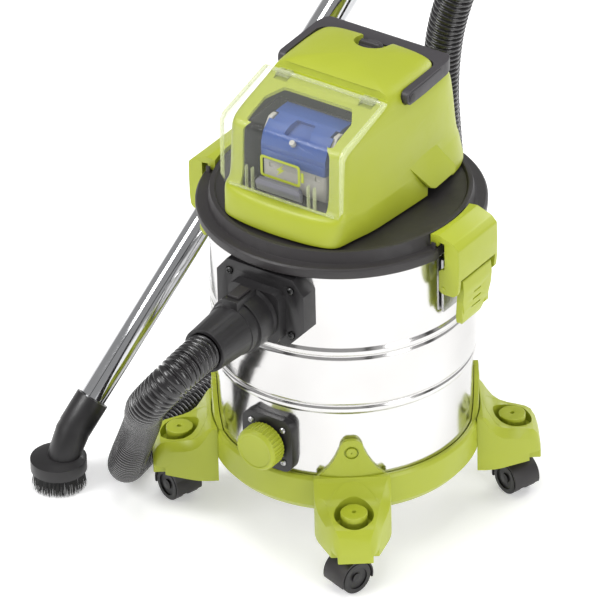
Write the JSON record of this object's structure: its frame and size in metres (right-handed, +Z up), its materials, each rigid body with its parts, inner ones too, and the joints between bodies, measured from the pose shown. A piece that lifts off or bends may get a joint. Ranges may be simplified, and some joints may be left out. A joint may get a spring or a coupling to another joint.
{
  "type": "shop vacuum",
  "caption": "Wet and dry shop vacuum: steel drum on casters, latched lid with battery-powered motor head, carry handle, hose and telescopic wand with round brush.",
  "frame": {"origin": "on the floor, below the drum's axis", "axes": "+Z up, -Y towards the hose inlet and the drain, +X to the object's right as seen from the front"},
  "size_m": [0.4977, 0.8325, 0.8549],
  "materials": {
    "lime_plastic": "satin moulded plastic",
    "charcoal_plastic": "fine-textured moulded plastic",
    "black_plastic": "satin moulded plastic",
    "grey_plastic": "satin moulded plastic",
    "light_plastic": "satin moulded plastic",
    "blue_plastic": "satin moulded plastic",
    "clear_plastic": "clear moulded plastic",
    "stainless_steel": "polished stainless sheet",
    "steel": "plain steel",
    "chrome": "chromed tube",
    "rubber": "soft rubber",
    "hose_plastic": "corrugated hose",
    "foam": "open-cell filter foam",
    "circuit_green": "coated circuit board",
    "bristle": "stiff bristle"
  },
  "bodies": {
    "frame": {"base_ring": "lime_plastic", "leg_front_right": "lime_plastic", "leg_back_right": "lime_plastic", "leg_back_left": "lime_plastic", "leg_front_left": "lime_plastic", "screws": "steel", "drum": "stainless_steel", "inlet_flange": "black_plastic", "drain_flange": "black_plastic", "drain_seal": "rubber", "latch_pins": "steel", "lid": "charcoal_plastic", "rim_seal": "rubber", "head_shell": "lime_plastic", "handle_pivots": "charcoal_plastic", "battery_bay": "charcoal_plastic", "door_hinge_pin": "steel", "motor_can": "steel", "motor_bearings": "steel", "fan_housing": "charcoal_plastic", "circuit_board": "circuit_green", "filter_cage": "black_plastic", "filter_sleeve": "foam", "hose_cuff": "black_plastic", "hose": "hose_plastic", "wand_grip": "black_plastic", "wand_outer": "chrome", "latch_bracket_right": "steel", "latch_bracket_left": "steel"},
    "swivel_front_right": {"caster_front_right": "charcoal_plastic"},
    "wheel_pair_front_right": {"wheels_front_right": "black_plastic"},
    "swivel_back_right": {"caster_back_right": "charcoal_plastic"},
    "wheel_pair_back_right": {"wheels_back_right": "black_plastic"},
    "swivel_back_left": {"caster_back_left": "charcoal_plastic"},
    "wheel_pair_back_left": {"wheels_back_left": "black_plastic"},
    "swivel_front_left": {"caster_front_left": "charcoal_plastic"},
    "wheel_pair_front_left": {"wheels_front_left": "black_plastic"},
    "lever_right": {"latch_lever_right": "lime_plastic"},
    "hook_right": {"latch_hook_right": "lime_plastic"},
    "lever_left": {"latch_lever_left": "lime_plastic"},
    "hook_left": {"latch_hook_left": "lime_plastic"},
    "bail": {"carry_handle": "grey_plastic"},
    "door": {"battery_door": "clear_plastic", "door_catch": "grey_plastic"},
    "battery": {"battery_case": "light_plastic", "battery_shell": "blue_plastic"},
    "release_right": {"battery_release_right": "light_plastic"},
    "release_left": {"battery_release_left": "light_plastic"},
    "gauge": {"gauge_button": "light_plastic"},
    "knob": {"switch_knob": "grey_plastic"},
    "cap": {"drain_cap": "lime_plastic"},
    "rotor_set": {"rotor": "steel", "impeller": "grey_plastic"},
    "ball": {"float_ball": "grey_plastic"},
    "cuff_button": {"cuff_lock_button": "charcoal_plastic"},
    "wand_lower": {"wand_inner": "chrome", "brush_body": "black_plastic", "brush_bristles": "bristle"},
    "wand_collar": {"wand_lock": "charcoal_plastic"},
    "relief": {"relief_slider": "charcoal_plastic"}
  },
  "joints": [
    {"name": "caster_swivel_front_right", "type": "hinge", "parent": "frame", "child": "swivel_front_right", "pos_m": [0.11073, -0.14695, 0.05], "axis": [0, 0, 1], "continuous": true},
    {"name": "wheel_spin_front_right", "type": "hinge", "parent": "swivel_front_right", "child": "wheel_pair_front_right", "pos_m": [0.10795, -0.15551, 0.019], "axis": [0.9511, -0.309, 0], "continuous": true},
    {"name": "caster_swivel_back_right", "type": "hinge", "parent": "frame", "child": "swivel_back_right", "pos_m": [0.14695, 0.11073, 0.05], "axis": [0, 0, 1], "continuous": true},
    {"name": "wheel_spin_back_right", "type": "hinge", "parent": "swivel_back_right", "child": "wheel_pair_back_right", "pos_m": [0.15551, 0.10795, 0.019], "axis": [0.309, 0.9511, 0], "continuous": true},
    {"name": "caster_swivel_back_left", "type": "hinge", "parent": "frame", "child": "swivel_back_left", "pos_m": [-0.11073, 0.14695, 0.05], "axis": [0, 0, 1], "continuous": true},
    {"name": "wheel_spin_back_left", "type": "hinge", "parent": "swivel_back_left", "child": "wheel_pair_back_left", "pos_m": [-0.10795, 0.15551, 0.019], "axis": [-0.9511, 0.309, 0], "continuous": true},
    {"name": "caster_swivel_front_left", "type": "hinge", "parent": "frame", "child": "swivel_front_left", "pos_m": [-0.14695, -0.11073, 0.05], "axis": [0, 0, 1], "continuous": true},
    {"name": "wheel_spin_front_left", "type": "hinge", "parent": "swivel_front_left", "child": "wheel_pair_front_left", "pos_m": [-0.15551, -0.10795, 0.019], "axis": [-0.309, -0.9511, 0], "continuous": true},
    {"name": "latch_lever_swing_right", "type": "hinge", "parent": "frame", "child": "lever_right", "pos_m": [0.154, 0, 0.358], "axis": [0, -1, 0], "range_deg": [0, 60]},
    {"name": "latch_hook_swing_right", "type": "hinge", "parent": "lever_right", "child": "hook_right", "pos_m": [0.158, 0, 0.34], "axis": [0, -1, 0], "range_deg": [-60, 0]},
    {"name": "latch_lever_swing_left", "type": "hinge", "parent": "frame", "child": "lever_left", "pos_m": [-0.154, 0, 0.358], "axis": [0, 1, 0], "range_deg": [0, 60]},
    {"name": "latch_hook_swing_left", "type": "hinge", "parent": "lever_left", "child": "hook_left", "pos_m": [-0.158, 0, 0.34], "axis": [0, 1, 0], "range_deg": [-60, 0]},
    {"name": "carry_handle_swing", "type": "hinge", "parent": "frame", "child": "bail", "pos_m": [0, 0.014, 0.531], "axis": [1, 0, 0], "range_deg": [0, 90]},
    {"name": "battery_door_swing", "type": "hinge", "parent": "frame", "child": "door", "pos_m": [0, -0.022, 0.536], "axis": [-1, 0, 0], "range_deg": [0, 105]},
    {"name": "battery_slide", "type": "slide", "parent": "frame", "child": "battery", "axis": [0, 0, 1], "range_m": [0, 0.006]},
    {"name": "battery_release_press_right", "type": "slide", "parent": "battery", "child": "release_right", "axis": [-1, 0, 0], "range_m": [0, 0.0025], "stiffness_N_per_m": 1500, "springref_m": -0.001},
    {"name": "battery_release_press_left", "type": "slide", "parent": "battery", "child": "release_left", "axis": [1, 0, 0], "range_m": [0, 0.0025], "stiffness_N_per_m": 1500, "springref_m": -0.001},
    {"name": "gauge_button_press", "type": "slide", "parent": "battery", "child": "gauge", "axis": [0, 0.5736, -0.8192], "range_m": [0, 0.001], "stiffness_N_per_m": 1500, "springref_m": -0.001},
    {"name": "switch_knob_turn", "type": "hinge", "parent": "frame", "child": "knob", "pos_m": [0, 0.06, 0.54], "axis": [0, 0, 1], "range_deg": [0, 90]},
    {"name": "drain_cap_turn", "type": "hinge", "parent": "frame", "child": "cap", "pos_m": [0, -0.165, 0.15], "axis": [0, -1, 0], "range_deg": [0, 90]},
    {"name": "rotor_spin", "type": "hinge", "parent": "frame", "child": "rotor_set", "pos_m": [0, 0.04, 0.45], "axis": [0, 0, 1], "continuous": true},
    {"name": "float_rise", "type": "slide", "parent": "frame", "child": "ball", "axis": [0, 0, 1], "range_m": [0, 0.03]},
    {"name": "cuff_button_press", "type": "slide", "parent": "frame", "child": "cuff_button", "axis": [0, 0, -1], "range_m": [0, 0.002], "stiffness_N_per_m": 1500, "springref_m": -0.001},
    {"name": "wand_telescope", "type": "slide", "parent": "frame", "child": "wand_lower", "axis": [0.222, 0.632, 0.7425], "range_m": [0, 0.25]},
    {"name": "wand_lock_slide", "type": "slide", "parent": "frame", "child": "wand_collar", "axis": [0.222, 0.632, 0.7425], "range_m": [0, 0.008], "stiffness_N_per_m": 400, "springref_m": -0.006},
    {"name": "relief_slide", "type": "slide", "parent": "frame", "child": "relief", "axis": [-0.222, -0.632, -0.7425], "range_m": [0, 0.008]}
  ],
  "couplings": [
    {"joint": "latch_hook_swing_right", "follows": "latch_lever_swing_right", "ratio": -1},
    {"joint": "latch_hook_swing_left", "follows": "latch_lever_swing_left", "ratio": -1}
  ]
}
